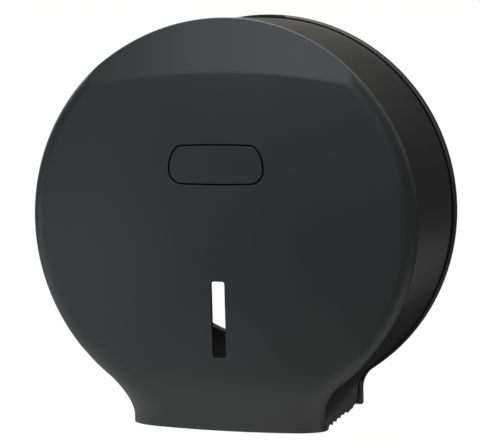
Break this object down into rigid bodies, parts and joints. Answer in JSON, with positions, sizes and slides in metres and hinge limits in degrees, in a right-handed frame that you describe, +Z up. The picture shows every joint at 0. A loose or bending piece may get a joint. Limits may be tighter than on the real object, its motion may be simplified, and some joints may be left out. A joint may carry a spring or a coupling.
{
  "type": "jumbo toilet roll dispenser",
  "caption": "Drum-shaped wall dispenser for a jumbo toilet roll, with a hinged cover, viewing slot, tear teeth, spindle and key latch.",
  "frame": {"origin": "on the wall plane, at the axis of the drum and the middle of the four wall screws", "axes": "+Z up, -Y out of the wall towards the user, +X to the user's right"},
  "size_m": [0.27, 0.114, 0.2743],
  "materials": {
    "back_plate_black": "fine matte black plastic",
    "cover_black": "satin black plastic with a faint texture",
    "badge_black": "satin black plastic",
    "cap_black": "matte black plastic",
    "spindle_grey": "grey moulded plastic",
    "sleeve_grey": "light grey moulded plastic",
    "lock_grey": "dark grey moulded plastic",
    "latch_grey": "pale grey slick plastic",
    "nylon": "natural nylon",
    "zinc_screws": "zinc plated steel",
    "spring_steel": "drawn spring steel",
    "pin_steel": "turned stainless steel",
    "keeper_steel": "folded zinc plated steel"
  },
  "bodies": {
    "wall_side": {"back_plate": "back_plate_black", "spindle_flange": "spindle_grey", "spindle_post": "spindle_grey", "spindle_screws": "zinc_screws", "thrust_washer": "nylon", "spindle_cap": "cap_black", "cap_screw": "zinc_screws", "hinge_pin_left": "pin_steel", "hinge_pin_right": "pin_steel", "lock_housing": "lock_grey", "lock_lid": "lock_grey", "lock_screws": "zinc_screws", "latch_spring_left": "spring_steel", "latch_spring_right": "spring_steel"},
    "cover": {"cover_shell": "cover_black", "badge_plate": "badge_black", "badge_clips": "spring_steel", "hinge_bush_left": "nylon", "hinge_bush_right": "nylon", "cover_keeper": "keeper_steel", "keeper_screws": "zinc_screws"},
    "sleeve": {"core_sleeve": "sleeve_grey", "sleeve_flange": "sleeve_grey"},
    "latch": {"latch_slide": "latch_grey"}
  },
  "joints": [
    {"name": "cover_hinge", "type": "hinge", "parent": "wall_side", "child": "cover", "pos_m": [0, -0.022, -0.1275], "axis": [1, 0, 0], "range_deg": [0, 90]},
    {"name": "core_spin", "type": "hinge", "parent": "wall_side", "child": "sleeve", "pos_m": [0, -0.055, 0], "axis": [0, -1, 0], "continuous": true},
    {"name": "latch_press", "type": "slide", "parent": "wall_side", "child": "latch", "axis": [0, 0, -1], "range_m": [0, 0.0055], "stiffness_N_per_m": 500, "springref_m": -0.004, "deforming": ["latch_spring_left", "latch_spring_right"]}
  ]
}
